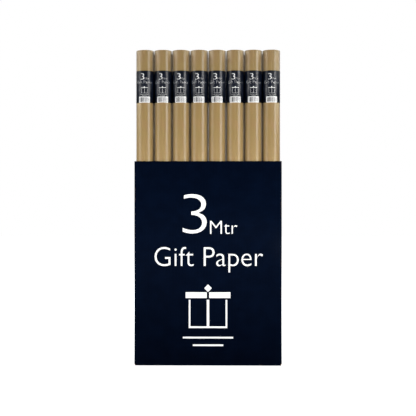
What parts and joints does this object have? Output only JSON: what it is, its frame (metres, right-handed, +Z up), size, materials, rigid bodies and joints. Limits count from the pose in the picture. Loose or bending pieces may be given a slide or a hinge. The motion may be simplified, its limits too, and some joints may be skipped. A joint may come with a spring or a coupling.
{
  "type": "display box of wrapping paper rolls",
  "caption": "Tall open-topped printed display box packed with upright rolls of plain kraft gift wrap, each a paper sheet wound on a card core, with a printed band and clear film.",
  "frame": {"origin": "on the floor, under the middle of the box's footprint", "axes": "+Z up along the rolls, -Y out of the printed front panel, +X to the right seen from the front"},
  "size_m": [0.3294, 0.1278, 0.7066],
  "materials": {
    "printed_board": "satin",
    "kraft_board": "matte",
    "core_board": "matte",
    "kraft_paper": "satin",
    "label_paper": "satin",
    "clear_film": "gloss"
  },
  "bodies": {
    "display_box": {"front_panel": "printed_board", "back_panel": "printed_board", "left_panel": "printed_board", "right_panel": "printed_board", "glue_flap": "kraft_board", "bottom_flap_front": "printed_board", "bottom_flap_back": "printed_board", "bottom_flap_left": "kraft_board", "bottom_flap_right": "kraft_board", "base_pad": "kraft_board"},
    "roll_01": {"roll_01_core": "core_board", "roll_01_paper": "kraft_paper", "roll_01_label": "label_paper", "roll_01_film": "clear_film"},
    "roll_02": {"roll_02_core": "core_board", "roll_02_paper": "kraft_paper", "roll_02_label": "label_paper", "roll_02_film": "clear_film"},
    "roll_03": {"roll_03_core": "core_board", "roll_03_paper": "kraft_paper", "roll_03_label": "label_paper", "roll_03_film": "clear_film"},
    "roll_04": {"roll_04_core": "core_board", "roll_04_paper": "kraft_paper", "roll_04_label": "label_paper", "roll_04_film": "clear_film"},
    "roll_05": {"roll_05_core": "core_board", "roll_05_paper": "kraft_paper", "roll_05_label": "label_paper", "roll_05_film": "clear_film"},
    "roll_06": {"roll_06_core": "core_board", "roll_06_paper": "kraft_paper", "roll_06_label": "label_paper", "roll_06_film": "clear_film"},
    "roll_07": {"roll_07_core": "core_board", "roll_07_paper": "kraft_paper", "roll_07_label": "label_paper", "roll_07_film": "clear_film"},
    "roll_08": {"roll_08_core": "core_board", "roll_08_paper": "kraft_paper", "roll_08_label": "label_paper", "roll_08_film": "clear_film"},
    "roll_09": {"roll_09_whole": "kraft_paper"},
    "roll_10": {"roll_10_whole": "kraft_paper"},
    "roll_11": {"roll_11_whole": "kraft_paper"},
    "roll_12": {"roll_12_whole": "kraft_paper"},
    "roll_13": {"roll_13_whole": "kraft_paper"},
    "roll_14": {"roll_14_whole": "kraft_paper"},
    "roll_15": {"roll_15_whole": "kraft_paper"},
    "roll_16": {"roll_16_whole": "kraft_paper"},
    "roll_17": {"roll_17_whole": "kraft_paper"},
    "roll_18": {"roll_18_whole": "kraft_paper"},
    "roll_19": {"roll_19_whole": "kraft_paper"},
    "roll_20": {"roll_20_whole": "kraft_paper"},
    "roll_21": {"roll_21_whole": "kraft_paper"},
    "roll_22": {"roll_22_whole": "kraft_paper"},
    "roll_23": {"roll_23_whole": "kraft_paper"},
    "roll_24": {"roll_24_whole": "kraft_paper"}
  },
  "joints": [
    {"name": "lift_roll_01", "type": "slide", "parent": "display_box", "child": "roll_01", "axis": [0, 0, 1], "range_m": [0, 0.71]},
    {"name": "lift_roll_02", "type": "slide", "parent": "display_box", "child": "roll_02", "axis": [0, 0, 1], "range_m": [0, 0.71]},
    {"name": "lift_roll_03", "type": "slide", "parent": "display_box", "child": "roll_03", "axis": [0, 0, 1], "range_m": [0, 0.71]},
    {"name": "lift_roll_04", "type": "slide", "parent": "display_box", "child": "roll_04", "axis": [0, 0, 1], "range_m": [0, 0.71]},
    {"name": "lift_roll_05", "type": "slide", "parent": "display_box", "child": "roll_05", "axis": [0, 0, 1], "range_m": [0, 0.71]},
    {"name": "lift_roll_06", "type": "slide", "parent": "display_box", "child": "roll_06", "axis": [0, 0, 1], "range_m": [0, 0.71]},
    {"name": "lift_roll_07", "type": "slide", "parent": "display_box", "child": "roll_07", "axis": [0, 0, 1], "range_m": [0, 0.71]},
    {"name": "lift_roll_08", "type": "slide", "parent": "display_box", "child": "roll_08", "axis": [0, 0, 1], "range_m": [0, 0.71]},
    {"name": "lift_roll_09", "type": "slide", "parent": "display_box", "child": "roll_09", "axis": [0, 0, 1], "range_m": [0, 0.71]},
    {"name": "lift_roll_10", "type": "slide", "parent": "display_box", "child": "roll_10", "axis": [0, 0, 1], "range_m": [0, 0.71]},
    {"name": "lift_roll_11", "type": "slide", "parent": "display_box", "child": "roll_11", "axis": [0, 0, 1], "range_m": [0, 0.71]},
    {"name": "lift_roll_12", "type": "slide", "parent": "display_box", "child": "roll_12", "axis": [0, 0, 1], "range_m": [0, 0.71]},
    {"name": "lift_roll_13", "type": "slide", "parent": "display_box", "child": "roll_13", "axis": [0, 0, 1], "range_m": [0, 0.71]},
    {"name": "lift_roll_14", "type": "slide", "parent": "display_box", "child": "roll_14", "axis": [0, 0, 1], "range_m": [0, 0.71]},
    {"name": "lift_roll_15", "type": "slide", "parent": "display_box", "child": "roll_15", "axis": [0, 0, 1], "range_m": [0, 0.71]},
    {"name": "lift_roll_16", "type": "slide", "parent": "display_box", "child": "roll_16", "axis": [0, 0, 1], "range_m": [0, 0.71]},
    {"name": "lift_roll_17", "type": "slide", "parent": "display_box", "child": "roll_17", "axis": [0, 0, 1], "range_m": [0, 0.71]},
    {"name": "lift_roll_18", "type": "slide", "parent": "display_box", "child": "roll_18", "axis": [0, 0, 1], "range_m": [0, 0.71]},
    {"name": "lift_roll_19", "type": "slide", "parent": "display_box", "child": "roll_19", "axis": [0, 0, 1], "range_m": [0, 0.71]},
    {"name": "lift_roll_20", "type": "slide", "parent": "display_box", "child": "roll_20", "axis": [0, 0, 1], "range_m": [0, 0.71]},
    {"name": "lift_roll_21", "type": "slide", "parent": "display_box", "child": "roll_21", "axis": [0, 0, 1], "range_m": [0, 0.71]},
    {"name": "lift_roll_22", "type": "slide", "parent": "display_box", "child": "roll_22", "axis": [0, 0, 1], "range_m": [0, 0.71]},
    {"name": "lift_roll_23", "type": "slide", "parent": "display_box", "child": "roll_23", "axis": [0, 0, 1], "range_m": [0, 0.71]},
    {"name": "lift_roll_24", "type": "slide", "parent": "display_box", "child": "roll_24", "axis": [0, 0, 1], "range_m": [0, 0.71]}
  ]
}
